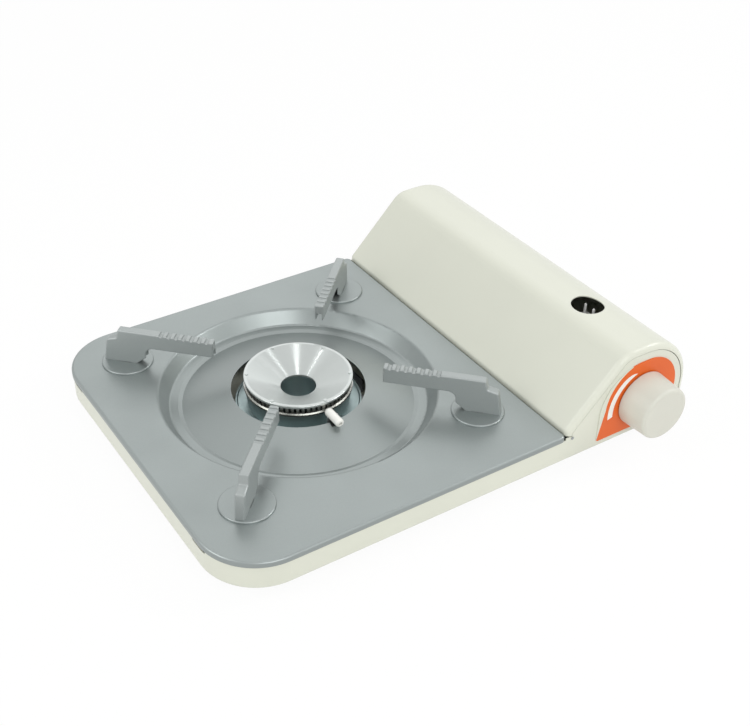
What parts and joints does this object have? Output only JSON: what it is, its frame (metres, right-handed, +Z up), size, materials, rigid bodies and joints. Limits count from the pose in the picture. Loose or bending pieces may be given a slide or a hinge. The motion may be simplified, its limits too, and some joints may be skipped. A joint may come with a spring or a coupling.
{
  "type": "butane cassette stove",
  "caption": "Tabletop gas stove: shallow steel case, drip tray with a round burner and pot supports, hinged cartridge lid, front knob.",
  "frame": {"origin": "bottom centre of the bounding box, on the plane that the feet stand on", "axes": "+X to the cartridge side, +Y to the rear, +Z up; the knob faces -Y"},
  "size_m": [0.3736, 0.306, 0.082],
  "materials": {
    "warm_white_enamel": "gloss",
    "silver_enamel": "gloss",
    "black_rubber": "matte",
    "cast_aluminium": "cast",
    "polished_steel": "polished",
    "plated_steel": "satin",
    "zinc_steel": "satin",
    "white_ceramic": "gloss",
    "brass": "satin",
    "die_cast_zinc": "cast",
    "magnet_iron": "satin",
    "white_plastic": "matte",
    "orange_print": "gloss",
    "black_plastic": "satin",
    "ivory_plastic": "satin"
  },
  "bodies": {
    "case": {"base_pan": "warm_white_enamel", "rubber_feet": "black_rubber", "burner_bowl": "cast_aluminium", "burner_ring": "cast_aluminium", "burner_cap": "polished_steel", "burner_strap": "zinc_steel", "electrode_bracket": "zinc_steel", "electrode_ceramic": "white_ceramic", "electrode_wire": "polished_steel", "mixing_tube": "zinc_steel", "air_shutter": "zinc_steel", "jet": "brass", "valve_block": "die_cast_zinc", "gas_pipe": "brass", "governor_body": "die_cast_zinc", "governor_cover": "die_cast_zinc", "governor_screws": "zinc_steel", "gas_inlet": "brass", "holding_magnet": "magnet_iron", "cartridge_guide": "white_plastic", "cartridge_cradle": "zinc_steel", "partition": "zinc_steel", "knob_plate": "orange_print", "piezo_igniter": "black_plastic", "lid_hinge_pins": "zinc_steel", "lid_studs": "black_rubber"},
    "lid": {"lid": "warm_white_enamel"},
    "tray": {"drip_tray": "silver_enamel", "pot_support_front_right": "plated_steel", "pot_support_rear_right": "plated_steel", "pot_support_rear_left": "plated_steel", "pot_support_front_left": "plated_steel"},
    "knob": {"knob": "ivory_plastic", "knob_shaft": "brass", "igniter_cam": "white_plastic"},
    "plunger": {"igniter_plunger": "black_plastic"}
  },
  "joints": [
    {"name": "lid_hinge", "type": "hinge", "parent": "case", "child": "lid", "pos_m": [0.17885, 0.0118, 0.018], "axis": [0, 1, 0], "range_deg": [0, 100]},
    {"name": "tray_lift", "type": "slide", "parent": "case", "child": "tray", "axis": [0, 0, 1], "range_m": [0, 0.08]},
    {"name": "knob_turn", "type": "hinge", "parent": "case", "child": "knob", "pos_m": [0.14305, -0.1382, 0.039], "axis": [0, -1, 0], "range_deg": [0, 105]},
    {"name": "igniter_slide", "type": "slide", "parent": "case", "child": "plunger", "axis": [-1, 0, 0], "range_m": [0, 0.0041]}
  ],
  "couplings": [
    {"joint": "igniter_slide", "follows": "knob_turn", "m_per_rad": 0.0021827}
  ]
}
